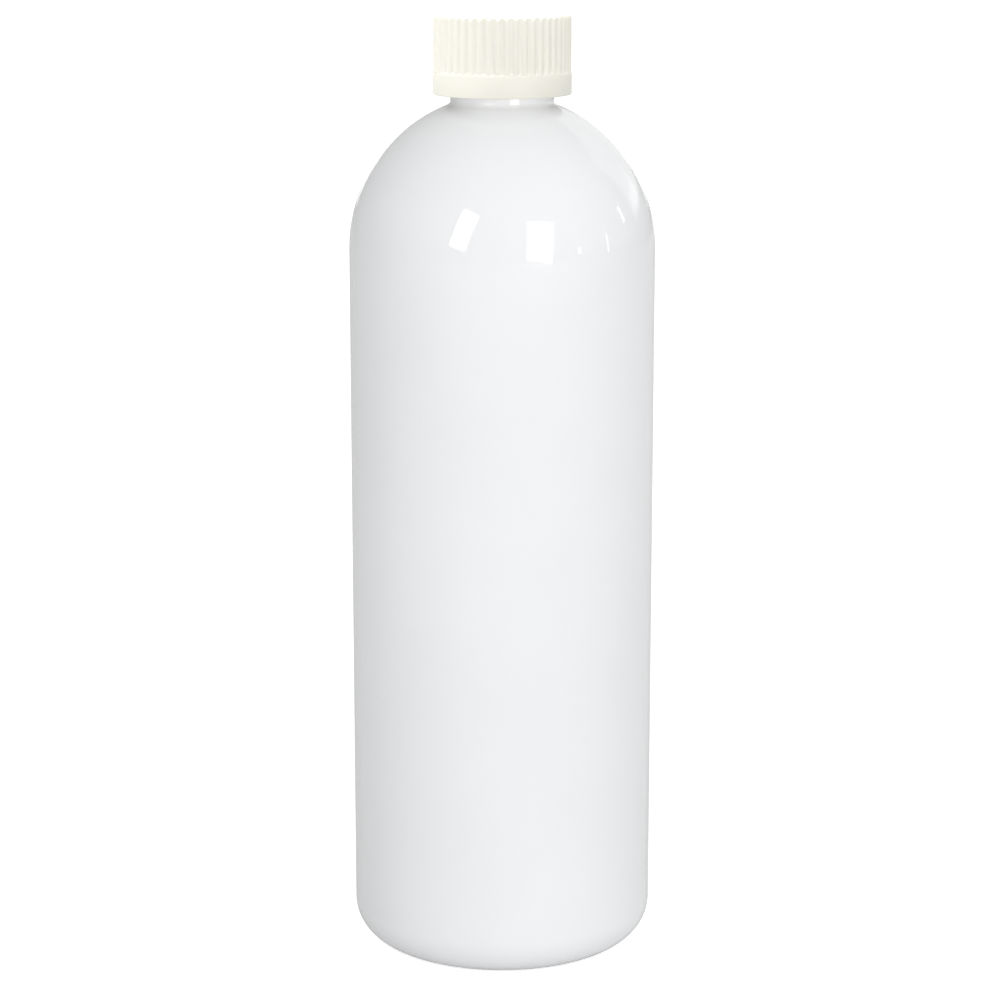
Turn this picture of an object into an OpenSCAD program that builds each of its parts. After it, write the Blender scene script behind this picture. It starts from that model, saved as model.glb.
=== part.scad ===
// Round bottle with a push-and-turn closure: a blown bottle, an inner screw cap with its liner,
// and a ribbed outer cap that drives the inner one only while it is pressed down.
// Millimetres, +Z up, the origin at the centre of the ring that the bottle stands on.

/* [Bottle] */
// Outside diameter of the body
body_d = 64; // [58:0.5:72]
// Height at which the straight side ends and the dome begins
side_h = 150.5; // [110:0.5:190]
// Wall of the body and the dome
body_wall = 0.8; // [0.6:0.1:1.6]
// Thickness of the floor
floor_t = 1.3; // [1:0.1:2.5]
// Radius of the rounded heel
heel_r = 8.5; // [5:0.5:12]
// Width of the flat ring that the bottle stands on
stand_w = 3; // [2:0.5:6]
// Height of the hollow under the base
push_up = 4.5; // [2:0.5:6]
// Rounding of the ring's inner edge, where the hollow begins
foot_r = 2.5; // [1:0.5:4]

/* [Neck] */
// Outside diameter of the plain neck
neck_d = 21.6; // [20:0.1:24]
// Bore of the neck
neck_bore_d = 17.2; // [14:0.1:18]
// Height of the neck above the dome
neck_h = 12.5; // [12:0.1:16]
// Radius of the fillet where the neck leaves the dome
neck_fillet = 1.2; // [0.5:0.1:1.6]
// Rounding of the lip
lip_r = 0.4; // [0.2:0.05:0.8]
// How far below the neck's root the plane lies that divides the one blown bottle into two nodes
split_drop = 6.6; // [4:0.1:10]

/* [Thread] */
// Rise of the thread in one turn
thread_pitch = 3.175; // [3:0.025:3.5]
// Height of the neck's thread above the plain neck
thread_h = 1; // [0.8:0.05:1.1]
// Width of the neck's thread at its root
thread_root = 2.2; // [1.9:0.05:2.4]
// Width of the neck's thread at its crest
thread_crest = 1; // [0.7:0.05:1.1]
// Turns of thread on the neck
neck_turns = 1.5; // [1:0.05:1.6]
// Distance from the lip to the upper end of the neck's thread
thread_start = 2.2; // [1.8:0.1:2.4]
// Clearance across the thread, between crest and wall
thread_clear = 0.2; // [0.15:0.05:0.4]
// Clearance along the axis, between the flanks
flank_clear = 0.3; // [0.2:0.05:0.4]

/* [Liner] */
// Thickness of the liner
liner_t = 1; // [0.6:0.1:1.6]
// Clearance around the liner
liner_clear = 0.15; // [0.1:0.05:0.25]
// Radius of the small bead in the inner cap that keeps the liner in its seat
liner_bead_r = 0.35; // [0.3:0.05:0.45]
// Clearance between that bead and the liner
liner_bead_clear = 0.05; // [0.05:0.05:0.2]

/* [Inner cap] */
// Wall of the inner cap
inner_wall = 0.9; // [0.8:0.1:1.2]
// Thickness of the inner cap's top
inner_top_t = 1.2; // [1:0.1:1.8]
// Number of drive teeth
tooth_count = 12; // [6:1:14]
// Height of the drive teeth and of the lugs that they meet
tooth_h = 1.2; // [1:0.1:1.6]
// Length of a drive tooth, from the rim towards the middle
tooth_len = 3.4; // [2:0.1:3.8]
// Width of a drive tooth at its foot
tooth_foot = 2; // [1.2:0.1:2.2]
// Width of a drive tooth at its tip
tooth_tip = 1.1; // [0.8:0.1:1.4]
// Number of spring leaves
leaf_count = 3; // [2:1:4]
// Length of a spring leaf
leaf_len = 7; // [5:0.5:8]
// Width of a spring leaf
leaf_w = 2.4; // [1.5:0.1:3]
// Thickness of a spring leaf
leaf_t = 0.6; // [0.4:0.05:0.8]

/* [Outer cap] */
// Height of the outer cap
cap_h = 16.7; // [15.8:0.1:17.2]
// Thickness of the outer cap's top
cap_top_t = 1.2; // [1:0.1:1.8]
// Wall of the outer cap in the valleys between the ribs
cap_wall = 0.9; // [0.6:0.1:1.2]
// Height of the smooth band below the ribs
band_h = 4.7; // [3:0.1:6]
// How far the band stands out from the ribs
band_step = 0.1; // [0.05:0.05:0.4]
// Number of ribs
rib_count = 48; // [24:1:60]
// Height of a rib above the valleys
rib_h = 0.3; // [0.2:0.05:0.4]
// Radius of a rib's round back
rib_r = 0.9; // [0.7:0.05:1]
// Height of the slope at the foot of each valley, above the band
valley_slope_h = 0.5; // [0.3:0.05:0.8]
// Rounding of the top edge
cap_edge_r = 1.3; // [0.6:0.1:1.6]
// How far the top edge's form lies outside the ribs
cap_edge_clear = 0.05; // [0.05:0.05:0.2]
// Rounding of the band's edges
band_edge_r = 0.25; // [0.1:0.05:0.4]
// Clearance between the two caps' walls
cap_clear = 0.2; // [0.15:0.05:0.4]
// Height of the bead's middle above the outer cap's mouth
bead_z = 1.1; // [0.8:0.1:1.6]
// Radius of the bead
bead_r = 0.55; // [0.4:0.05:0.6]
// Height of the inner cap's mouth below the end of its thread
mouth_margin = 0.3; // [0.2:0.1:0.6]
// Clearance between teeth and lugs at rest, and between the bead and the inner cap
rest_clear = 0.3; // [0.2:0.05:0.4]

/* [Hidden] */
$fn = 96;
// Overlap of pieces that are moulded together
fuse = 0.3;
// Steps of the screw threads in one turn
thread_steps = 72;
// Part of a turn over which a thread rises from the wall
thread_fade = 0.12;
// How far a thread's ends lie below the wall, as a share of its height
thread_sink = 0.2;

body_r = body_d / 2;
neck_r = neck_d / 2;
neck_bore_r = neck_bore_d / 2;
stand_out_r = body_r - heel_r;
stand_in_r = stand_out_r - stand_w;
// The hollow is part of a sphere that meets the ring's rounded inner edge
push_r = (stand_in_r * stand_in_r + push_up * push_up) / (2 * push_up) - foot_r;
foot_share = foot_r / (push_r + foot_r);
foot_x = stand_in_r * (1 - foot_share);
foot_z = foot_r + (push_up - push_r - foot_r) * foot_share;

// Height at which a sphere on the dome's centre has the radius r
function dome_z(sphere_r, r) = side_h + sqrt(sphere_r * sphere_r - r * r);

neck_z = dome_z(body_r, neck_r);
lip_z = neck_z + neck_h;
split_z = neck_z - split_drop;
fillet_x = neck_r + neck_fillet;
fillet_z = dome_z(body_r + neck_fillet, fillet_x);

inner_bore_r = neck_r + thread_h + thread_clear;
inner_r = inner_bore_r + inner_wall;
inner_under_z = lip_z + liner_t;
inner_top_z = inner_under_z + inner_top_t;
tooth_top_z = inner_top_z + tooth_h;
// The outer cap presses down by tooth_h, and then lies rest_clear above the inner cap
cap_under_z = tooth_top_z + rest_clear + tooth_h;
cap_top_z = cap_under_z + cap_top_t;
cap_z = cap_top_z - cap_h;
cap_bore_r = inner_r + cap_clear;
valley_r = cap_bore_r + cap_wall;
crest_r = valley_r + rib_h;
band_r = crest_r + band_step;
band_z = cap_z + band_h;
bead_mid_z = cap_z + bead_z;
inner_z = bead_mid_z + bead_r + rest_clear;

// Width of the neck's thread at a radius
function neck_thread_w(r) = thread_root + (thread_crest - thread_root) * (r - neck_r) / thread_h;
// Width that the inner cap's thread has between two turns of the neck's
function cap_thread_w(r) = thread_pitch - neck_thread_w(r) - 2 * flank_clear;

cap_crest_r = neck_r + thread_clear;
neck_thread_top = lip_z - thread_start;
cap_thread_top = neck_thread_top - thread_pitch / 2;
cap_thread_foot = inner_z + mouth_margin + cap_thread_w(inner_bore_r) / 2;
cap_turns = (cap_thread_top - cap_thread_foot) / thread_pitch;

// Points of a thread's section: at the wall, at the crest, and back
function thread_ring(a, z, wall_r, crest, wall_w, crest_w) = [
    [wall_r * cos(a), wall_r * sin(a), z - wall_w / 2],
    [crest * cos(a), crest * sin(a), z - crest_w / 2],
    [crest * cos(a), crest * sin(a), z + crest_w / 2],
    [wall_r * cos(a), wall_r * sin(a), z + wall_w / 2]
];

// Share of its full height that a thread has at a given number of turns from its start
function thread_rise(t, turns) =
    min(1, t / thread_fade, (turns - t) / thread_fade) * (1 + thread_sink) - thread_sink;

// A screw thread that runs down from top_z, from a wall to its crest
module thread(top_z, turns, wall_r, crest, wall_w, crest_w, inward) {
    steps = ceil(turns * thread_steps);
    buried = inward ? wall_r + fuse : wall_r - fuse;
    points = [
        for (i = [0:steps])
            let (t = turns * i / steps, k = thread_rise(t, turns))
                each thread_ring(-360 * t, top_z - thread_pitch * t, buried,
                    wall_r + (crest - wall_r) * k, wall_w, wall_w + (crest_w - wall_w) * max(k, 0))
    ];
    sides = [
        for (i = [0:steps - 1], j = [0:3])
            let (a = 4 * i + j, b = 4 * i + (j + 1) % 4)
                each [[a, b, b + 4], [a, b + 4, a + 4]]
    ];
    ends = [[0, 3, 2], [0, 2, 1], [4 * steps, 4 * steps + 1, 4 * steps + 2],
        [4 * steps, 4 * steps + 2, 4 * steps + 3]];
    faces = [for (f = concat(sides, ends)) inward ? f : [f[2], f[1], f[0]]];
    polyhedron(points = points, faces = faces, convexity = 6);
}

// Half section of the bottle's outside
module bottle_outside() {
    translate([0, heel_r]) square([body_r, side_h - heel_r]);
    square([stand_out_r, heel_r]);
    translate([stand_out_r, heel_r]) circle(heel_r);
    intersection() {
        translate([0, side_h]) circle(body_r);
        translate([0, side_h]) square([body_r, body_r]);
    }
    neck_outside();
}

// Half section of the neck, with the fillet at its foot and the rounded lip
module neck_outside() {
    translate([0, side_h]) square([neck_r, lip_z - lip_r - side_h]);
    translate([0, lip_z - lip_r]) square([neck_r - lip_r, lip_r]);
    translate([neck_r - lip_r, lip_z - lip_r]) circle(lip_r);
    foot = body_r / (body_r + neck_fillet);
    difference() {
        polygon([
            [neck_r - fuse, side_h + (fillet_z - side_h) * foot - neck_fillet],
            [fillet_x * foot, side_h + (fillet_z - side_h) * foot],
            [fillet_x, fillet_z],
            [neck_r, fillet_z],
            [neck_r - fuse, fillet_z]
        ]);
        translate([fillet_x, fillet_z]) circle(neck_fillet);
    }
}

// Half section of the room inside
module bottle_inside() {
    in_r = body_r - body_wall;
    difference() {
        union() {
            translate([0, heel_r]) square([in_r, side_h - heel_r]);
            translate([0, floor_t]) square([stand_out_r, heel_r - floor_t]);
            translate([stand_out_r, heel_r]) circle(heel_r - body_wall);
            intersection() {
                translate([0, side_h]) circle(in_r);
                translate([0, side_h]) square([in_r, in_r]);
            }
            translate([0, side_h]) square([neck_bore_r, lip_z + fuse - side_h]);
        }
        square([body_r, floor_t]);
        push_up_disc(push_r + floor_t);
    }
}

// Round section that hollows the base
module push_up_disc(r) {
    translate([0, push_up - push_r]) circle(r, $fn = 180);
}

// What the rounding of the ring's inner edge takes away
module foot_rounding() {
    difference() {
        polygon([[stand_in_r, foot_r], [foot_x, foot_z], [foot_x, -fuse], [stand_in_r, -fuse]]);
        translate([stand_in_r, foot_r]) circle(foot_r);
    }
}

// The blown wall, turned, from one height to another
module blown_wall(from_z, to_z) {
    rotate_extrude(convexity = 6) intersection() {
        difference() {
            bottle_outside();
            bottle_inside();
            push_up_disc(push_r);
            foot_rounding();
        }
        translate([0, from_z]) square([body_d, to_z - from_z]);
    }
}

// The bottle and its neck are one blown piece, in two nodes that meet face to face
module bottle() {
    color("white") blown_wall(0, split_z);
}

module neck() {
    color("white") {
        blown_wall(split_z, lip_z);
        thread(neck_thread_top, neck_turns, neck_r, neck_r + thread_h, thread_root, thread_crest, false);
    }
}

module liner() {
    color("lightgray") translate([0, 0, lip_z])
        cylinder(h = liner_t, r = inner_bore_r - liner_clear);
}

// A drive tooth or lug, standing on the plane below it, with its length along X
module tooth(len) {
    rotate([90, 0, 90]) linear_extrude(height = len)
        polygon([
            [-tooth_foot / 2, -fuse], [tooth_foot / 2, -fuse], [tooth_foot / 2, 0],
            [tooth_tip / 2, tooth_h], [-tooth_tip / 2, tooth_h], [-tooth_foot / 2, 0]
        ]);
}

// A spring leaf that rises from the inner cap's top
module spring_leaf() {
    slope = asin((tooth_h - leaf_t / 2) / leaf_len);
    translate([-leaf_len / 2, -leaf_w / 2, -leaf_t / 2]) rotate([0, -slope, 0])
        cube([leaf_len, leaf_w, leaf_t]);
}

module inner_cap() {
    color("ivory") {
        rotate_extrude(convexity = 6) difference() {
            translate([0, inner_z]) square([inner_r, inner_top_z - inner_z]);
            difference() {
                translate([0, inner_z - fuse]) square([inner_bore_r, inner_under_z - inner_z + fuse]);
                translate([inner_bore_r, lip_z - liner_bead_clear - liner_bead_r]) circle(liner_bead_r);
            }
        }
        thread(cap_thread_top, cap_turns, inner_bore_r, cap_crest_r,
            cap_thread_w(inner_bore_r), cap_thread_w(cap_crest_r), true);
        for (i = [0:tooth_count - 1])
            rotate([0, 0, 360 * i / tooth_count])
                translate([inner_r - tooth_len - cap_clear, 0, inner_top_z]) tooth(tooth_len);
        for (i = [0:leaf_count - 1])
            rotate([0, 0, 360 * i / leaf_count])
                translate([0, (inner_r - tooth_len) / 2, inner_top_z]) spring_leaf();
    }
}

// Half section of the outer cap's smooth shell: top, wall, band and bead
module cap_shell() {
    difference() {
        union() {
            translate([0, cap_z]) square([valley_r, cap_h]);
            translate([0, cap_z + band_edge_r]) square([band_r, band_h - 2 * band_edge_r]);
            translate([0, cap_z]) square([band_r - band_edge_r, band_h]);
            translate([band_r - band_edge_r, cap_z + band_edge_r]) circle(band_edge_r);
            translate([band_r - band_edge_r, band_z - band_edge_r]) circle(band_edge_r);
            polygon([[cap_bore_r, band_z - band_edge_r], [crest_r, band_z - band_edge_r], [crest_r, band_z],
                [valley_r, band_z + valley_slope_h], [cap_bore_r, band_z + valley_slope_h]]);
        }
        translate([0, cap_z - fuse]) square([cap_bore_r, cap_under_z - cap_z + fuse]);
    }
    difference() {
        translate([cap_bore_r, bead_mid_z]) circle(bead_r);
        translate([cap_bore_r + fuse, cap_z]) square([band_r, band_h]);
    }
}

// The form that rounds the top edge and leaves everything below it alone
module cap_envelope() {
    rim_r = crest_r + cap_edge_clear;
    rotate_extrude() {
        translate([0, cap_z - fuse]) square([band_r + fuse, band_h + 2 * fuse]);
        translate([0, cap_z]) square([rim_r, cap_h - cap_edge_r]);
        translate([0, cap_z]) square([rim_r - cap_edge_r, cap_h]);
        translate([rim_r - cap_edge_r, cap_top_z - cap_edge_r]) circle(cap_edge_r);
    }
}

// A rib of the grip, with a round back, that starts inside the wall
module rib() {
    rib_len = cap_top_z - band_z + fuse;
    intersection() {
        translate([crest_r - rib_r, 0, band_z - fuse]) cylinder(h = rib_len, r = rib_r, $fn = 48);
        translate([cap_bore_r + fuse, -rib_r, band_z - fuse]) cube([crest_r, 2 * rib_r, rib_len]);
    }
}

module outer_cap() {
    color("ivory") intersection() {
        union() {
            rotate_extrude(convexity = 6) cap_shell();
            for (i = [0:rib_count - 1])
                rotate([0, 0, 360 * (i + 0.5) / rib_count]) rib();
            for (i = [0:tooth_count - 1])
                rotate([0, 0, 360 * (i + 0.5) / tooth_count])
                    translate([inner_r - tooth_len - cap_clear, 0, cap_under_z])
                        mirror([0, 0, 1]) tooth(tooth_len + 2 * cap_clear + fuse);
        }
        cap_envelope();
    }
}

bottle();
neck();
liner();
inner_cap();
outer_cap();
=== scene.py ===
import math

import bmesh
import bpy
from mathutils import Matrix, Quaternion, Vector


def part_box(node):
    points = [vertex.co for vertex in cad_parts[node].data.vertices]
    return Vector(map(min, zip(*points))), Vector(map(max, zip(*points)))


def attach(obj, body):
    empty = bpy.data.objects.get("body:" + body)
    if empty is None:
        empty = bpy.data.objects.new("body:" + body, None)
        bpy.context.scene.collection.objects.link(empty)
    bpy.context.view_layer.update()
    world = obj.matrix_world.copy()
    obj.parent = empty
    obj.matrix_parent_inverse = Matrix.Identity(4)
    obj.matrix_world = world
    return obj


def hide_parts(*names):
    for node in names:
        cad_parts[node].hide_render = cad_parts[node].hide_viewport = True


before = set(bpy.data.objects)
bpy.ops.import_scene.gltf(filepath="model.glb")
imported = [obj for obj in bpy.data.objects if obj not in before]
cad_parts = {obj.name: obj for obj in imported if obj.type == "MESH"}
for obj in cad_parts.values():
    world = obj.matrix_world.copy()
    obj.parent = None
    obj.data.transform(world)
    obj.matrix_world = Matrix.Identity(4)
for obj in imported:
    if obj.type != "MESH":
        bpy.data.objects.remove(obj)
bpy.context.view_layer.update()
MM = 0.001

# Bottle
# One blow-moulded piece of glossy, opaque white PET: straight round body, dome shoulder, short neck with a
# screw thread, rounded heel, and a hollow base that leaves a flat ring to stand on. It is hollow.
bottle_low, bottle_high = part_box("bottle")
BODY_R = (bottle_high.x - bottle_low.x) / 2
LIP_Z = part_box("neck")[1].z
SIDE_Z = 150.5 * MM
BODY_WALL = 0.8 * MM
FLOOR_T = 1.3 * MM
HEEL_R = 8.5 * MM
RING_W = 3 * MM
PUSH_UP = 4.5 * MM
FOOT_R = 2.5 * MM
NECK_R = 10.8 * MM
NECK_BORE_R = 8.6 * MM
NECK_FILLET = 1.2 * MM
LIP_R = 0.4 * MM
THREAD_PITCH = 3.175 * MM
THREAD_H = 1 * MM
THREAD_ROOT = 2.2 * MM
THREAD_CREST = 1 * MM
THREAD_TURNS = 1.5
THREAD_TOP_Z = LIP_Z - 2.2 * MM
THREAD_FADE = 0.12
THREAD_SINK = 0.3 * MM
THREAD_ROUNDING = 0.25 * MM
THREAD_STEPS = 260
GATE_R = 1.6 * MM
GATE_H = 0.35 * MM
BOTTLE_SEGMENTS = 192


def arc(centre, radius, start, end, steps):
    """Points (r, z) of an arc, from one angle to the other in degrees."""
    points = []
    for i in range(steps + 1):
        a = math.radians(start + (end - start) * i / steps)
        points.append((centre[0] + radius * math.cos(a), centre[1] + radius * math.sin(a)))
    return points


def straight(start, end, steps):
    """Points (r, z) of a straight stretch."""
    return [(start[0] + (end[0] - start[0]) * i / steps, start[1] + (end[1] - start[1]) * i / steps)
            for i in range(steps + 1)]


def turned(name, profile, segments):
    """A closed solid of revolution about Z from a half section that starts and ends on the axis."""
    clean = []
    for r, z in profile:
        if not clean or math.hypot(r - clean[-1][0], z - clean[-1][1]) > 1e-7:
            clean.append((r, z))
    bm = bmesh.new()
    rings = []
    for r, z in clean:
        if r < 1e-7:
            rings.append([bm.verts.new((0, 0, z))] * segments)
            continue
        ring = []
        for k in range(segments):
            a = 2 * math.pi * k / segments
            ring.append(bm.verts.new((r * math.cos(a), r * math.sin(a), z)))
        rings.append(ring)
    for low, high in zip(rings, rings[1:]):
        for k in range(segments):
            n = (k + 1) % segments
            corners = []
            for v in (low[k], low[n], high[n], high[k]):
                if v not in corners:
                    corners.append(v)
            bm.faces.new(corners)
    bmesh.ops.recalc_face_normals(bm, faces=bm.faces)
    mesh = bpy.data.meshes.new(name)
    bm.to_mesh(mesh)
    bm.free()
    return mesh


def shade(mesh, sharp_angle=40):
    """Smooth shading that keeps the edges steeper than the angle."""
    bm = bmesh.new()
    bm.from_mesh(mesh)
    limit = math.radians(sharp_angle)
    for edge in bm.edges:
        edge.smooth = edge.calc_face_angle(math.pi) < limit
    for face in bm.faces:
        face.smooth = True
    bm.to_mesh(mesh)
    bm.free()


def placed(name, mesh):
    piece = bpy.data.objects.new(name, mesh)
    bpy.context.scene.collection.objects.link(piece)
    return piece


def new_tree(name, inputs):
    """A geometry node tree with named inputs, and its input and output nodes."""
    tree = bpy.data.node_groups.new(name, "GeometryNodeTree")
    tree.interface.new_socket("Geometry", in_out="INPUT", socket_type="NodeSocketGeometry")
    for label, kind in inputs:
        tree.interface.new_socket(label, in_out="INPUT", socket_type=kind)
    tree.interface.new_socket("Geometry", in_out="OUTPUT", socket_type="NodeSocketGeometry")
    return tree, tree.nodes.new("NodeGroupInput"), tree.nodes.new("NodeGroupOutput")


def grown(base, tree, values):
    """The plain mesh that a geometry node tree makes of an object. The object goes, with its modifier."""
    modifier = base.modifiers.new(tree.name, "NODES")
    modifier.node_group = tree
    for item in tree.interface.items_tree:
        if item.item_type == "SOCKET" and item.in_out == "INPUT" and item.name in values:
            modifier[item.identifier] = values[item.name]
    depsgraph = bpy.context.evaluated_depsgraph_get()
    mesh = bpy.data.meshes.new_from_object(base.evaluated_get(depsgraph), depsgraph=depsgraph)
    base.modifiers.clear()
    bpy.data.objects.remove(base)
    return mesh


def joined(name, meshes, material):
    """One mesh from several parts of one moulding."""
    bm = bmesh.new()
    for mesh in meshes:
        bm.from_mesh(mesh)
    result = bpy.data.meshes.new(name)
    bm.to_mesh(result)
    bm.free()
    result.materials.clear()
    result.materials.append(material)
    for face in result.polygons:
        face.material_index = 0
    return result


def calculation(tree, operation, *terms):
    """A math node; each term is a number or a socket."""
    node = tree.nodes.new("ShaderNodeMath")
    node.operation = operation
    for socket, term in zip(node.inputs, terms):
        if isinstance(term, (int, float)):
            socket.default_value = term
        else:
            tree.links.new(term, socket)
    return node.outputs[0]


def helix_tree():
    """A screw thread: a trapezoid swept down a helix from angle 0, fading into the wall at both ends."""
    tree, given, made = new_tree("screw_thread", [
        ("Turns", "NodeSocketFloat"), ("Pitch", "NodeSocketFloat"), ("Top", "NodeSocketFloat"),
        ("Path radius", "NodeSocketFloat"), ("Foot width", "NodeSocketFloat"),
        ("Crest width", "NodeSocketFloat"), ("Height", "NodeSocketFloat"), ("Fade", "NodeSocketFloat"),
        ("Rounding", "NodeSocketFloat"), ("Outward", "NodeSocketFloat"), ("Steps", "NodeSocketInt"),
        ("Material", "NodeSocketMaterial")])
    nodes, links = tree.nodes, tree.links
    want = given.outputs
    line = nodes.new("GeometryNodeCurvePrimitiveLine")
    cut = nodes.new("GeometryNodeResampleCurve")
    links.new(line.outputs[0], cut.inputs["Curve"])
    links.new(want["Steps"], cut.inputs["Count"])
    along = nodes.new("GeometryNodeSplineParameter").outputs["Factor"]
    turns = calculation(tree, "MULTIPLY", along, want["Turns"])
    angle = calculation(tree, "MULTIPLY", turns, -2 * math.pi)
    spot = nodes.new("ShaderNodeCombineXYZ")
    across = calculation(tree, "COSINE", angle)
    deep = calculation(tree, "SINE", angle)
    links.new(calculation(tree, "MULTIPLY", across, want["Path radius"]), spot.inputs[0])
    links.new(calculation(tree, "MULTIPLY", deep, want["Path radius"]), spot.inputs[1])
    fall = calculation(tree, "MULTIPLY", turns, want["Pitch"])
    links.new(calculation(tree, "SUBTRACT", want["Top"], fall), spot.inputs[2])
    place = nodes.new("GeometryNodeSetPosition")
    links.new(cut.outputs[0], place.inputs["Geometry"])
    links.new(spot.outputs[0], place.inputs["Position"])
    upright = nodes.new("GeometryNodeSetCurveNormal")
    upright.mode = "Z_UP"
    links.new(place.outputs[0], upright.inputs["Curve"])
    to_end = calculation(tree, "SUBTRACT", want["Turns"], turns)
    nearest = calculation(tree, "MINIMUM", turns, to_end)
    rise = calculation(tree, "DIVIDE", nearest, want["Fade"])
    rise = calculation(tree, "MAXIMUM", calculation(tree, "MINIMUM", rise, 1.0), 0.02)
    section = nodes.new("GeometryNodeCurvePrimitiveQuadrilateral")
    section.mode = "TRAPEZOID"
    links.new(want["Foot width"], section.inputs["Bottom Width"])
    links.new(want["Crest width"], section.inputs["Top Width"])
    links.new(want["Height"], section.inputs["Height"])
    section.inputs["Offset"].default_value = 0.0
    lift = nodes.new("GeometryNodeTransform")
    links.new(section.outputs[0], lift.inputs["Geometry"])
    middle = nodes.new("ShaderNodeCombineXYZ")
    links.new(calculation(tree, "MULTIPLY", want["Height"], 0.5), middle.inputs[1])
    links.new(middle.outputs[0], lift.inputs["Translation"])
    face = nodes.new("GeometryNodeTransform")
    links.new(lift.outputs[0], face.inputs["Geometry"])
    turn = nodes.new("ShaderNodeCombineXYZ")
    links.new(calculation(tree, "MULTIPLY", want["Outward"], math.pi / 2), turn.inputs[2])
    links.new(turn.outputs[0], face.inputs["Rotation"])
    soft = nodes.new("GeometryNodeFilletCurve")
    soft.mode = "POLY"
    soft.inputs["Count"].default_value = 3
    soft.inputs["Limit Radius"].default_value = True
    links.new(face.outputs[0], soft.inputs["Curve"])
    links.new(want["Rounding"], soft.inputs["Radius"])
    sweep = nodes.new("GeometryNodeCurveToMesh")
    sweep.inputs["Fill Caps"].default_value = True
    links.new(upright.outputs[0], sweep.inputs["Curve"])
    links.new(soft.outputs[0], sweep.inputs["Profile Curve"])
    links.new(rise, sweep.inputs["Scale"])
    real = nodes.new("GeometryNodeRealizeInstances")
    finish = nodes.new("GeometryNodeSetMaterial")
    links.new(sweep.outputs[0], real.inputs[0])
    links.new(real.outputs[0], finish.inputs["Geometry"])
    links.new(want["Material"], finish.inputs["Material"])
    links.new(finish.outputs[0], made.inputs[0])
    return tree


def plain_nodes(name):
    """A new material, its node tree and its shader."""
    material = bpy.data.materials.new(name)
    material.use_nodes = True
    return material, material.node_tree, material.node_tree.nodes["Principled BSDF"]


def noise(tree, scale, detail=2.0):
    """A noise pattern over the piece, with features of about 1 / scale metres."""
    place = tree.nodes.new("ShaderNodeTexCoord")
    pattern = tree.nodes.new("ShaderNodeTexNoise")
    pattern.inputs["Scale"].default_value = scale
    pattern.inputs["Detail"].default_value = detail
    tree.links.new(place.outputs["Object"], pattern.inputs["Vector"])
    return pattern.outputs["Fac"]


def between(tree, factor, low, high):
    """A number that runs from low to high as the factor runs from 0.3 to 0.7."""
    node = tree.nodes.new("ShaderNodeMapRange")
    tree.links.new(factor, node.inputs["Value"])
    node.inputs["From Min"].default_value = 0.3
    node.inputs["From Max"].default_value = 0.7
    node.inputs["To Min"].default_value = low
    node.inputs["To Max"].default_value = high
    return node.outputs[0]


def tinted(tree, factor, dark, light):
    """A colour between two near shades."""
    ramp = tree.nodes.new("ShaderNodeValToRGB")
    ramp.color_ramp.elements[0].position = 0.35
    ramp.color_ramp.elements[0].color = (*dark, 1)
    ramp.color_ramp.elements[1].position = 0.65
    ramp.color_ramp.elements[1].color = (*light, 1)
    tree.links.new(factor, ramp.inputs["Fac"])
    return ramp.outputs["Color"]


def relief(tree, height, depth, under=None):
    """A bump node of a given depth in metres, over another one."""
    node = tree.nodes.new("ShaderNodeBump")
    node.inputs["Strength"].default_value = 1.0
    node.inputs["Distance"].default_value = depth
    tree.links.new(height, node.inputs["Height"])
    if under is not None:
        tree.links.new(under, node.inputs["Normal"])
    return node.outputs[0]


def blown_white_pet():
    material, tree, shader = plain_nodes("blown_white_pet")
    links = tree.links
    white = tinted(tree, noise(tree, 22), (0.80, 0.806, 0.816), (0.82, 0.826, 0.836))
    links.new(white, shader.inputs["Base Color"])
    links.new(between(tree, noise(tree, 160, 3), 0.035, 0.06), shader.inputs["Roughness"])
    shader.inputs["IOR"].default_value = 1.57
    shader.inputs["Subsurface Weight"].default_value = 0.12
    shader.inputs["Subsurface Radius"].default_value = (1.0, 1.0, 1.0)
    shader.inputs["Subsurface Scale"].default_value = 0.0012
    waves = relief(tree, noise(tree, 26, 1.0), 0.00012)
    place = tree.nodes.new("ShaderNodeTexCoord")
    split = tree.nodes.new("ShaderNodeSeparateXYZ")
    links.new(place.outputs["Object"], split.inputs[0])
    off_seam = calculation(tree, "ABSOLUTE", split.outputs["Y"])
    seam = tree.nodes.new("ShaderNodeMapRange")
    seam.interpolation_type = "SMOOTHSTEP"
    links.new(off_seam, seam.inputs["Value"])
    seam.inputs["From Min"].default_value = 0.00005
    seam.inputs["From Max"].default_value = 0.0003
    seam.inputs["To Min"].default_value = 1.0
    seam.inputs["To Max"].default_value = 0.0
    links.new(relief(tree, seam.outputs[0], 0.00002, waves), shader.inputs["Normal"])
    return material


stand_out_r = BODY_R - HEEL_R
stand_in_r = stand_out_r - RING_W
push_r = (stand_in_r ** 2 + PUSH_UP ** 2) / (2 * PUSH_UP) - FOOT_R
push_z = PUSH_UP - push_r
foot_lean = math.degrees(math.atan2(FOOT_R - push_z, stand_in_r))
dome_r_in = BODY_R - BODY_WALL
fillet_x = NECK_R + NECK_FILLET
fillet_z = SIDE_Z + math.sqrt((BODY_R + NECK_FILLET) ** 2 - fillet_x ** 2)
fillet_lean = math.degrees(math.atan2(fillet_z - SIDE_Z, fillet_x))
bore_lean = math.degrees(math.acos(NECK_BORE_R / dome_r_in))
floor_push_r = push_r + FLOOR_T
floor_r = math.sqrt(floor_push_r ** 2 - (FLOOR_T - push_z) ** 2)
floor_lean = math.degrees(math.acos(floor_r / floor_push_r))
heel_r_in = HEEL_R - BODY_WALL
heel_lean = math.degrees(math.asin((HEEL_R - FLOOR_T) / heel_r_in))
gate_z = PUSH_UP - GATE_H
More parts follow.
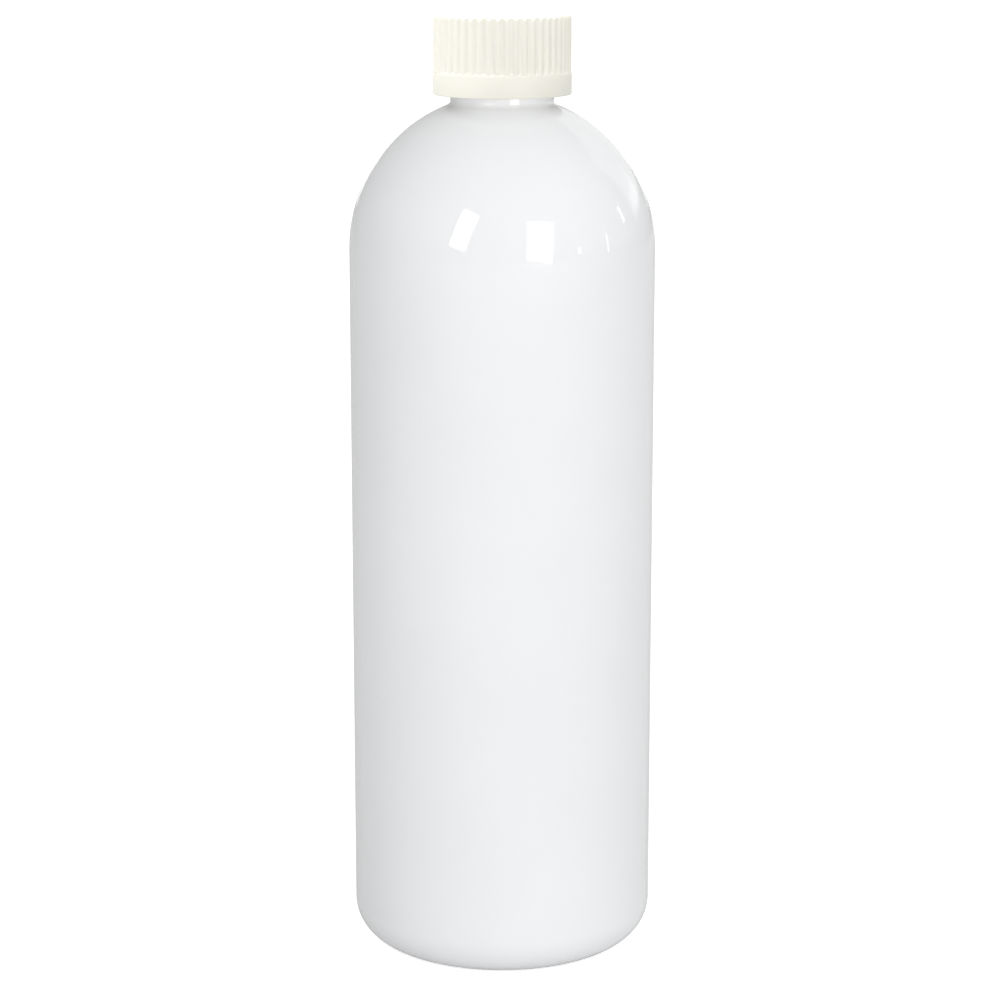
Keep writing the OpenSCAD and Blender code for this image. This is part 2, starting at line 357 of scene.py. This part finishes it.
bottle_profile = (
    [(0, gate_z)]
    + arc((GATE_R, gate_z + 0.1 * MM), 0.1 * MM, -90, 0, 3)
    + arc((0, push_z), push_r, 90 - math.degrees(2 * GATE_R / push_r), foot_lean, 28)
    + arc((stand_in_r, FOOT_R), FOOT_R, foot_lean - 180, -90, 10)
    + arc((stand_out_r, HEEL_R), HEEL_R, -90, 0, 28)
    + straight((BODY_R, HEEL_R), (BODY_R, SIDE_Z), 24)
    + arc((0, SIDE_Z), BODY_R, 0, fillet_lean, 56)
    + arc((fillet_x, fillet_z), NECK_FILLET, fillet_lean - 180, -180, 10)
    + arc((NECK_R - LIP_R, LIP_Z - LIP_R), LIP_R, 0, 90, 6)
    + arc((NECK_BORE_R + LIP_R, LIP_Z - LIP_R), LIP_R, 90, 180, 6)
    + arc((0, SIDE_Z), dome_r_in, bore_lean, 0, 32)
    + straight((dome_r_in, SIDE_Z), (dome_r_in, HEEL_R), 6)
    + arc((stand_out_r, HEEL_R), heel_r_in, 0, -heel_lean, 14)
    + arc((0, push_z), floor_push_r, floor_lean, 90, 14)
)
bottle_profile[-1] = (0, PUSH_UP + FLOOR_T)
white_pet = blown_white_pet()
thread_tree = helix_tree()
neck_thread = grown(placed("neck_thread", bpy.data.meshes.new("neck_thread")), thread_tree, {
    "Turns": THREAD_TURNS, "Pitch": THREAD_PITCH, "Top": THREAD_TOP_Z, "Path radius": NECK_R - THREAD_SINK,
    "Foot width": THREAD_ROOT, "Crest width": THREAD_CREST, "Height": THREAD_H + THREAD_SINK,
    "Fade": THREAD_FADE, "Rounding": THREAD_ROUNDING, "Outward": 1.0, "Steps": THREAD_STEPS,
    "Material": white_pet})
bottle_turned = turned("bottle_turned", bottle_profile, BOTTLE_SEGMENTS)
bottle_mesh = joined("bottle_shell", [bottle_turned, neck_thread], white_pet)
shade(bottle_mesh)
bottle = placed("bottle_shell", bottle_mesh)
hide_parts("bottle", "neck")
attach(bottle, "bottle")

# Liner
# A round disc of white closed-cell foam, cut from sheet and pressed into the top of the inner cap, where a
# small bead holds it. The lip of the neck has left a shallow ring in its face.
liner_low, liner_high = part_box("liner")
LINER_R = (liner_high.x - liner_low.x) / 2
LINER_EDGE = 0.12 * MM
PRESS_DEPTH = 0.06 * MM
LINER_SEGMENTS = 96


def liner_foam():
    material, tree, shader = plain_nodes("liner_foam")
    links = tree.links
    white = tinted(tree, noise(tree, 900), (0.74, 0.74, 0.72), (0.80, 0.80, 0.78))
    links.new(white, shader.inputs["Base Color"])
    links.new(between(tree, noise(tree, 1500), 0.5, 0.65), shader.inputs["Roughness"])
    cells = tree.nodes.new("ShaderNodeTexVoronoi")
    cells.inputs["Scale"].default_value = 2600
    place = tree.nodes.new("ShaderNodeTexCoord")
    links.new(place.outputs["Object"], cells.inputs["Vector"])
    links.new(relief(tree, cells.outputs["Distance"], 0.00003), shader.inputs["Normal"])
    shader.inputs["Subsurface Weight"].default_value = 0.2
    shader.inputs["Subsurface Scale"].default_value = 0.0008
    return material


liner_profile = (
    [(0, liner_low.z)]
    + straight((1 * MM, liner_low.z), (NECK_BORE_R - 0.2 * MM, liner_low.z), 4)
    + [(NECK_BORE_R + 0.1 * MM, liner_low.z + PRESS_DEPTH), (NECK_R - 0.1 * MM, liner_low.z + PRESS_DEPTH)]
    + [(NECK_R + 0.2 * MM, liner_low.z)]
    + arc((LINER_R - LINER_EDGE, liner_low.z + LINER_EDGE), LINER_EDGE, -90, 0, 4)
    + arc((LINER_R - LINER_EDGE, liner_high.z - LINER_EDGE), LINER_EDGE, 0, 90, 4)
    + [(0, liner_high.z)]
)
liner_mesh = turned("liner_disc", liner_profile, LINER_SEGMENTS)
liner_mesh.materials.append(liner_foam())
shade(liner_mesh)
liner = placed("liner_disc", liner_mesh)
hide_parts("liner")
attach(liner, "liner")

# Inner cap
# An injection-moulded ivory polypropylene cup with the inside thread that screws on the neck. On its top
# stand the drive teeth, near the rim, and three spring leaves that lift the outer cap off the teeth.
inner_low, inner_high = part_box("inner_cap")
INNER_R = (inner_high.x - inner_low.x) / 2
INNER_BORE_R = INNER_R - 0.9 * MM
INNER_TOP_T = 1.2 * MM
TOOTH_H = 1.2 * MM
TOOTH_LEN = 3.4 * MM
TOOTH_FOOT = 2 * MM
TOOTH_TIP = 1.1 * MM
TOOTH_COUNT = 12
TOOTH_SINK = 0.3 * MM
CAP_GAP = 0.2 * MM
LEAF_LEN = 7 * MM
LEAF_W = 2.4 * MM
LEAF_T = 0.6 * MM
LEAF_COUNT = 3
EDGE = 0.2 * MM
LINER_BEAD_R = 0.35 * MM
FLANK_GAP = 0.3 * MM
INNER_THREAD_CREST_R = NECK_R + 0.2 * MM
INNER_THREAD_ROUNDING = 0.2 * MM
INNER_THREAD_STEPS = 200
MOUTH_MARGIN = 0.3 * MM
TOOTH_EDGE = 0.12 * MM
LEAF_EDGE = 0.1 * MM
INNER_SEGMENTS = 128
inner_top_z = inner_high.z - TOOTH_H
inner_under_z = inner_top_z - INNER_TOP_T


def ring_tree():
    """Copies of one moulded feature, in a ring about Z."""
    tree, given, made = new_tree("ring_of_features", [
        ("Count", "NodeSocketInt"), ("First angle", "NodeSocketFloat"), ("Material", "NodeSocketMaterial")])
    nodes, links = tree.nodes, tree.links
    spots = nodes.new("GeometryNodeMeshLine")
    spots.inputs["Offset"].default_value = (0, 0, 0)
    links.new(given.outputs["Count"], spots.inputs["Count"])
    index = nodes.new("GeometryNodeInputIndex").outputs[0]
    share = calculation(tree, "DIVIDE", index, given.outputs["Count"])
    turn = nodes.new("ShaderNodeCombineXYZ")
    angle = calculation(tree, "MULTIPLY", share, 2 * math.pi)
    links.new(calculation(tree, "ADD", angle, given.outputs["First angle"]), turn.inputs[2])
    copies = nodes.new("GeometryNodeInstanceOnPoints")
    links.new(spots.outputs[0], copies.inputs["Points"])
    links.new(given.outputs["Geometry"], copies.inputs["Instance"])
    links.new(turn.outputs[0], copies.inputs["Rotation"])
    real = nodes.new("GeometryNodeRealizeInstances")
    finish = nodes.new("GeometryNodeSetMaterial")
    links.new(copies.outputs[0], real.inputs[0])
    links.new(real.outputs[0], finish.inputs["Geometry"])
    links.new(given.outputs["Material"], finish.inputs["Material"])
    links.new(finish.outputs[0], made.inputs[0])
    return tree


def softened_block(name, corners_low, corners_high, height, edge, matrix):
    """A block between two rectangles (x0, x1, y0, y1), with its edges rounded."""
    bm = bmesh.new()
    rings = []
    for (x0, x1, y0, y1), z in ((corners_low, 0.0), (corners_high, height)):
        rings.append([bm.verts.new(p) for p in ((x0, y0, z), (x1, y0, z), (x1, y1, z), (x0, y1, z))])
    low, high = rings
    bm.faces.new(low)
    bm.faces.new(high)
    for k in range(4):
        n = (k + 1) % 4
        bm.faces.new((low[k], low[n], high[n], high[k]))
    bmesh.ops.recalc_face_normals(bm, faces=bm.faces)
    bmesh.ops.bevel(bm, geom=bm.edges[:], offset=edge, segments=3, profile=0.5, affect="EDGES")
    bmesh.ops.transform(bm, matrix=matrix, verts=bm.verts)
    bmesh.ops.recalc_face_normals(bm, faces=bm.faces)
    mesh = bpy.data.meshes.new(name)
    bm.to_mesh(mesh)
    bm.free()
    return mesh


def moulded_ivory(name, dark, light):
    """Satin polypropylene between two near shades, which light enters a little way."""
    material, tree, shader = plain_nodes(name)
    links = tree.links
    links.new(tinted(tree, noise(tree, 60), dark, light), shader.inputs["Base Color"])
    links.new(between(tree, noise(tree, 700, 3), 0.42, 0.52), shader.inputs["Roughness"])
    shader.inputs["IOR"].default_value = 1.49
    shader.inputs["Subsurface Weight"].default_value = 0.3
    shader.inputs["Subsurface Radius"].default_value = (1.0, 0.9, 0.7)
    shader.inputs["Subsurface Scale"].default_value = 0.0007
    grain = relief(tree, noise(tree, 4000, 2), 0.000006)
    links.new(relief(tree, noise(tree, 120, 1), 0.00001, grain), shader.inputs["Normal"])
    return material


inner_ivory = moulded_ivory("inner_ivory", (0.80, 0.78, 0.69), (0.83, 0.81, 0.72))
bead_z = liner_low.z - 0.05 * MM - LINER_BEAD_R
inner_profile = (
    [(0, inner_top_z)]
    + arc((INNER_R - EDGE, inner_top_z - EDGE), EDGE, 90, 0, 5)
    + arc((INNER_R - EDGE, inner_low.z + EDGE), EDGE, 0, -90, 5)
    + arc((INNER_BORE_R + EDGE, inner_low.z + EDGE), EDGE, -90, -180, 5)
    + arc((INNER_BORE_R, bead_z), LINER_BEAD_R, -90, -270, 10)
    + [(INNER_BORE_R, inner_under_z), (0, inner_under_z)]
)


def inner_thread_width(r):
    """Width that the inner thread has at a radius, between two turns of the neck's thread."""
    neck_width = THREAD_ROOT + (THREAD_CREST - THREAD_ROOT) * (r - NECK_R) / THREAD_H
    return THREAD_PITCH - neck_width - 2 * FLANK_GAP


inner_thread_top = THREAD_TOP_Z - THREAD_PITCH / 2
inner_thread_foot = inner_low.z + MOUTH_MARGIN + inner_thread_width(INNER_BORE_R) / 2
inner_thread_turns = (inner_thread_top - inner_thread_foot) / THREAD_PITCH
inner_thread = grown(placed("inner_thread", bpy.data.meshes.new("inner_thread")), thread_tree, {
    "Turns": inner_thread_turns, "Pitch": THREAD_PITCH, "Top": inner_thread_top,
    "Path radius": INNER_BORE_R + THREAD_SINK, "Foot width": inner_thread_width(INNER_BORE_R),
    "Crest width": inner_thread_width(INNER_THREAD_CREST_R),
    "Height": INNER_BORE_R + THREAD_SINK - INNER_THREAD_CREST_R, "Fade": THREAD_FADE,
    "Rounding": INNER_THREAD_ROUNDING, "Outward": -1.0, "Steps": INNER_THREAD_STEPS,
    "Material": inner_ivory})
feature_ring = ring_tree()


def tooth_mesh(length, matrix):
    """A drive tooth or lug, wider at its foot than at its tip."""
    return softened_block(
        "tooth", (0, length, -TOOTH_FOOT / 2, TOOTH_FOOT / 2), (0, length, -TOOTH_TIP / 2, TOOTH_TIP / 2),
        TOOTH_H + TOOTH_SINK, TOOTH_EDGE, matrix)


tooth_foot_r = INNER_R - TOOTH_LEN - CAP_GAP
tooth_place = Matrix.Translation((tooth_foot_r, 0, inner_top_z - TOOTH_SINK))
tooth = placed("tooth", tooth_mesh(TOOTH_LEN, tooth_place))
teeth = grown(tooth, feature_ring, {"Count": TOOTH_COUNT, "First angle": 0.0, "Material": inner_ivory})
leaf_slope = math.asin((TOOTH_H - LEAF_T / 2) / LEAF_LEN)
leaf_y = (INNER_R - TOOTH_LEN) / 2 - LEAF_W / 2
leaf_place = (Matrix.Translation((-LEAF_LEN / 2, leaf_y, inner_top_z - LEAF_T / 2))
              @ Matrix.Rotation(-leaf_slope, 4, "Y"))
leaf = placed("leaf", softened_block("leaf", (0, LEAF_LEN, 0, LEAF_W), (0, LEAF_LEN, 0, LEAF_W), LEAF_T,
                                     LEAF_EDGE, leaf_place))
leaves = grown(leaf, feature_ring, {"Count": LEAF_COUNT, "First angle": 0.0, "Material": inner_ivory})
inner_cup = turned("inner_turned", inner_profile, INNER_SEGMENTS)
inner_mesh = joined("inner_cap_cup", [inner_cup, inner_thread, teeth, leaves], inner_ivory)
shade(inner_mesh)
inner_cap = placed("inner_cap_cup", inner_mesh)
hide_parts("inner_cap")
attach(inner_cap, "inner_cap")

# Outer cap
# The ivory polypropylene shell that the hand grips, moulded in one piece: a wide, round-backed rib every 7.5
# degrees from the rounded top edge down to a smooth band, with a narrow valley between each two, drive lugs
# under the top, and a bead that snaps below the inner cap.
outer_low, outer_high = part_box("outer_cap")
BAND_R = (outer_high.x - outer_low.x) / 2
BAND_H = 4.7 * MM
BAND_STEP = 0.1 * MM
BAND_EDGE = 0.25 * MM
CAP_TOP_T = 1.2 * MM
CAP_BORE_R = INNER_R + CAP_GAP
CAP_EDGE_R = 1.3 * MM
RIB_COUNT = 48
RIB_H = 0.3 * MM
RIB_R = 0.9 * MM
RIB_SOFTNESS = 0.08 * MM
VALLEY_SLOPE_H = 0.5 * MM
VALLEY_SLOPE_POWER = 1.4
BEAD_R = 0.55 * MM
BEAD_Z = outer_low.z + 1.1 * MM
CAP_SEGMENTS = RIB_COUNT * 20
crest_r = BAND_R - BAND_STEP
valley_r = crest_r - RIB_H
band_z = outer_low.z + BAND_H
cap_under_z = outer_high.z - CAP_TOP_T


def grip_tree():
    """Presses the valleys into the grip of a turned cap, and leaves the ribs' round backs."""
    tree, given, made = new_tree("ribbed_grip", [
        ("Rib count", "NodeSocketInt"), ("Rib radius", "NodeSocketFloat"), ("Softness", "NodeSocketFloat"),
        ("Crest radius", "NodeSocketFloat"), ("Valley radius", "NodeSocketFloat"),
        ("Grip foot", "NodeSocketFloat"), ("Slope height", "NodeSocketFloat"),
        ("Slope power", "NodeSocketFloat"), ("Wall inside", "NodeSocketFloat"),
        ("Material", "NodeSocketMaterial")])
    nodes, links = tree.nodes, tree.links
    want = given.outputs
    split = nodes.new("ShaderNodeSeparateXYZ")
    links.new(nodes.new("GeometryNodeInputPosition").outputs[0], split.inputs[0])
    x, y, z = split.outputs
    reach = calculation(tree, "SQRT", calculation(
        tree, "ADD", calculation(tree, "MULTIPLY", x, x), calculation(tree, "MULTIPLY", y, y)))
    angle = calculation(tree, "ARCTAN2", y, x)
    turns = calculation(tree, "DIVIDE", angle, 2 * math.pi)
    ribs_along = calculation(tree, "MULTIPLY", calculation(tree, "ADD", turns, 1.0), want["Rib count"])
    past_valley = calculation(tree, "FRACT", ribs_along)
    from_rib = calculation(tree, "ABSOLUTE", calculation(tree, "SUBTRACT", past_valley, 0.5))
    spacing = calculation(tree, "DIVIDE", calculation(tree, "MULTIPLY", want["Crest radius"], 2 * math.pi),
                          want["Rib count"])
    aside = calculation(tree, "MULTIPLY", from_rib, spacing)
    radius_squared = calculation(tree, "MULTIPLY", want["Rib radius"], want["Rib radius"])
    under = calculation(tree, "SUBTRACT", radius_squared, calculation(tree, "MULTIPLY", aside, aside))
    back = calculation(tree, "SQRT", calculation(tree, "MAXIMUM", under, 0.0))
    centre = calculation(tree, "SUBTRACT", want["Crest radius"], want["Rib radius"])
    round_back = calculation(tree, "ADD", centre, back)
    ribbed = calculation(tree, "SMOOTH_MAX", round_back, want["Valley radius"], want["Softness"])
    above_foot = calculation(tree, "SUBTRACT", z, want["Grip foot"])
    up = calculation(tree, "DIVIDE", above_foot, want["Slope height"])
    left_to_climb = calculation(tree, "MAXIMUM", calculation(tree, "SUBTRACT", 1.0, up), 0.0)
    toe = calculation(tree, "POWER", left_to_climb, want["Slope power"])
    depth = calculation(tree, "SUBTRACT", want["Crest radius"], want["Valley radius"])
    floor_r = calculation(tree, "ADD", want["Valley radius"], calculation(tree, "MULTIPLY", toe, depth))
    ribbed = calculation(tree, "MAXIMUM", ribbed, floor_r)
    wanted = calculation(tree, "MINIMUM", reach, ribbed)
    ratio = calculation(tree, "DIVIDE", wanted, calculation(tree, "MAXIMUM", reach, 1e-6))
    spot = nodes.new("ShaderNodeCombineXYZ")
    links.new(calculation(tree, "MULTIPLY", x, ratio), spot.inputs[0])
    links.new(calculation(tree, "MULTIPLY", y, ratio), spot.inputs[1])
    links.new(z, spot.inputs[2])
    grip = calculation(tree, "MULTIPLY", calculation(tree, "GREATER_THAN", z, want["Grip foot"]),
                       calculation(tree, "GREATER_THAN", reach, want["Wall inside"]))
    move = nodes.new("GeometryNodeSetPosition")
    links.new(want["Geometry"], move.inputs["Geometry"])
    links.new(grip, move.inputs["Selection"])
    links.new(spot.outputs[0], move.inputs["Position"])
    real = nodes.new("GeometryNodeRealizeInstances")
    finish = nodes.new("GeometryNodeSetMaterial")
    links.new(move.outputs[0], real.inputs[0])
    links.new(real.outputs[0], finish.inputs["Geometry"])
    links.new(want["Material"], finish.inputs["Material"])
    links.new(finish.outputs[0], made.inputs[0])
    return tree


outer_ivory = moulded_ivory("outer_ivory", (0.740, 0.728, 0.658), (0.760, 0.748, 0.678))
foot_rows = [(crest_r, band_z + 0.02 * MM * step * step) for step in range(1, 6)]
cap_profile = (
    [(0, outer_high.z), (6 * MM, outer_high.z)]
    + arc((crest_r - CAP_EDGE_R, outer_high.z - CAP_EDGE_R), CAP_EDGE_R, 90, 0, 14)
    + straight((crest_r, outer_high.z - CAP_EDGE_R), (crest_r, foot_rows[-1][1]), 8)
    + list(reversed(foot_rows))
    + [(crest_r, band_z)]
    + arc((BAND_R - BAND_EDGE, band_z - BAND_EDGE), BAND_EDGE, 90, 0, 5)
    + arc((BAND_R - BAND_EDGE, outer_low.z + BAND_EDGE), BAND_EDGE, 0, -90, 5)
    + arc((CAP_BORE_R + EDGE, outer_low.z + EDGE), EDGE, -90, -180, 3)
    + arc((CAP_BORE_R, BEAD_Z), BEAD_R, -90, -270, 8)
    + [(CAP_BORE_R, cap_under_z), (0, cap_under_z)]
)
cap_shell = grown(placed("cap_shell", turned("cap_turned", cap_profile, CAP_SEGMENTS)), grip_tree(), {
    "Rib count": RIB_COUNT, "Rib radius": RIB_R, "Softness": RIB_SOFTNESS, "Crest radius": crest_r,
    "Valley radius": valley_r, "Grip foot": band_z + 0.001 * MM, "Slope height": VALLEY_SLOPE_H,
    "Slope power": VALLEY_SLOPE_POWER, "Wall inside": CAP_BORE_R + 0.1 * MM, "Material": outer_ivory})
lug_place = (Matrix.Translation((tooth_foot_r, 0, cap_under_z + TOOTH_SINK))
             @ Matrix.Rotation(math.pi, 4, "X"))
lug = placed("lug", tooth_mesh(TOOTH_LEN + 2 * CAP_GAP + TOOTH_SINK, lug_place))
lugs = grown(lug, feature_ring, {"Count": TOOTH_COUNT, "First angle": math.pi / TOOTH_COUNT,
                                 "Material": outer_ivory})
cap_mesh = joined("outer_cap_shell", [cap_shell, lugs], outer_ivory)
shade(cap_mesh, 50)
outer_cap = placed("outer_cap_shell", cap_mesh)
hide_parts("outer_cap")
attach(outer_cap, "outer_cap")

# Floor
# A plain white table top, far larger than the view, lit so that it runs into the white of the room.
FLOOR_SIZE = 40.0
FLOOR_GLOW = 0.65


def white_floor():
    material, tree, shader = plain_nodes("white_floor")
    shader.inputs["Base Color"].default_value = (0.9, 0.9, 0.9, 1)
    shader.inputs["Roughness"].default_value = 0.8
    shader.inputs["Specular IOR Level"].default_value = 0.0
    shader.inputs["Emission Color"].default_value = (1, 1, 1, 1)
    seen = tree.nodes.new("ShaderNodeLightPath")
    tree.links.new(calculation(tree, "MULTIPLY", seen.outputs["Is Camera Ray"], FLOOR_GLOW),
                   shader.inputs["Emission Strength"])
    return material


half = FLOOR_SIZE / 2
floor_corners = [(-half, -half, 0), (half, -half, 0), (half, half, 0), (-half, half, 0)]
floor_mesh = bpy.data.meshes.new("floor")
floor_mesh.from_pydata(floor_corners, [], [(0, 1, 2, 3)])
floor_mesh.materials.append(white_floor())
floor = placed("floor", floor_mesh)

# Light
# Soft studio light: an even white room, a little brighter on the right, two tall windows in front, a large
# panel behind on the right, three narrow strips beside it and a white backdrop. Three soft lamps light only
# the cap or only the bottle, and the cap, which lets light through, keeps no window's light from the dome.
ROOM_LIGHT = 0.554
ROOM_RIGHT = 0.135
ROOM_SEEN = 1.1
AIM_Z = 0.155
FAR = 2.0
NEAR = 1.0
WINDOW = 4.3
world = bpy.data.worlds.new("white_room")
bpy.context.scene.world = world
world.use_nodes = True
room = world.node_tree
room_light = room.nodes["Background"]
room_light.inputs["Color"].default_value = (1, 1, 1, 1)
looking = room.nodes.new("ShaderNodeTexCoord")
way = room.nodes.new("ShaderNodeSeparateXYZ")
room.links.new(looking.outputs["Generated"], way.inputs[0])
aside = calculation(room, "MULTIPLY", calculation(room, "MAXIMUM", way.outputs["X"], 0.0), ROOM_RIGHT)
seen = room.nodes.new("ShaderNodeLightPath")
strength = room.nodes.new("ShaderNodeMix")
room.links.new(seen.outputs["Is Camera Ray"], strength.inputs["Factor"])
room.links.new(calculation(room, "ADD", aside, ROOM_LIGHT), strength.inputs["A"])
strength.inputs["B"].default_value = ROOM_SEEN
room.links.new(strength.outputs["Result"], room_light.inputs["Strength"])


def softbox(name, azimuth, elevation, distance, width, height, radiance, lean=0.0):
    """A rectangular light, seen from the bottle at an azimuth from the front and an elevation."""
    data = bpy.data.lights.new(name, "AREA")
    data.shape = "RECTANGLE"
    data.size = width
    data.size_y = height
    data.energy = 4 * width * height * radiance
    lamp = bpy.data.objects.new(name, data)
    bpy.context.scene.collection.objects.link(lamp)
    a, e = math.radians(azimuth), math.radians(elevation)
    away = Vector((math.sin(a) * math.cos(e), -math.cos(a) * math.cos(e), math.sin(e)))
    lamp.location = Vector((0, 0, AIM_Z)) + distance * away
    lamp.rotation_mode = "QUATERNION"
    lamp.rotation_quaternion = (-away).to_track_quat("-Z", "Y") @ Quaternion((0, 0, 1), math.radians(lean))
    lamp.visible_camera = False
    return lamp


left_window = softbox("left_window", -29.8, 18.7, FAR, 0.47, 0.98, WINDOW, -15.9)
right_window = softbox("right_window", 28.6, 10.8, FAR, 0.69, 1.00, WINDOW, -7.0)
softbox("right_panel", 146, 24, FAR, 1.8, 1.27, 0.40)
softbox("panel_foot", 134, 14, FAR, 0.6, 0.42, 0.15)
softbox("panel_corner", 134, 11, FAR, 0.6, 0.2, 0.3)
softbox("backdrop", 180, 2, FAR, 1.4, 0.3, 0.8)
softbox("strip_1", 59, 2.0, FAR, 0.08, 0.155, 3.5, 26)
softbox("strip_2", 85, 3.6, FAR, 0.05, 0.385, 2.5, 4)
softbox("strip_3", 106.8, 13.1, FAR, 0.085, 0.27, 4.0, 18)
only_cap = bpy.data.collections.new("only_cap")
only_cap.objects.link(outer_cap)
only_bottle = bpy.data.collections.new("only_bottle")
only_bottle.objects.link(bottle)
for lamp, lit in ((softbox("cap_left", -95, 15, NEAR, 0.5, 0.5, 5.5), only_cap),
                  (softbox("cap_above", 0, 87, NEAR, 0.6, 0.6, 6.8), only_cap),
                  (softbox("bottle_above", 0, 62, FAR, 2.0, 2.0, 0.40), only_bottle)):
    lamp.light_linking.receiver_collection = lit
    lamp.light_linking.blocker_collection = lit
    lamp.visible_glossy = False
for lamp in (left_window, right_window):
    lamp.light_linking.blocker_collection = only_bottle

# Camera
# The photograph's view: from the front, a little above the shoulder, through a long lens.
CAMERA_BACK = 0.6142
CAMERA_UP = 0.2306
CAMERA_SIDE = -0.00046
CAMERA_PITCH = 0.215
LENS = 106.14
SENSOR = 36.0
camera_data = bpy.data.cameras.new("camera")
camera_data.lens = LENS
camera_data.sensor_width = SENSOR
camera_data.clip_start = 0.01
camera = bpy.data.objects.new("camera", camera_data)
bpy.context.scene.collection.objects.link(camera)
camera.location = (CAMERA_SIDE, -CAMERA_BACK, CAMERA_UP)
camera.rotation_euler = (math.pi / 2 - CAMERA_PITCH, 0, 0)
bpy.context.scene.camera = camera
bpy.context.scene.view_settings.view_transform = "Standard"
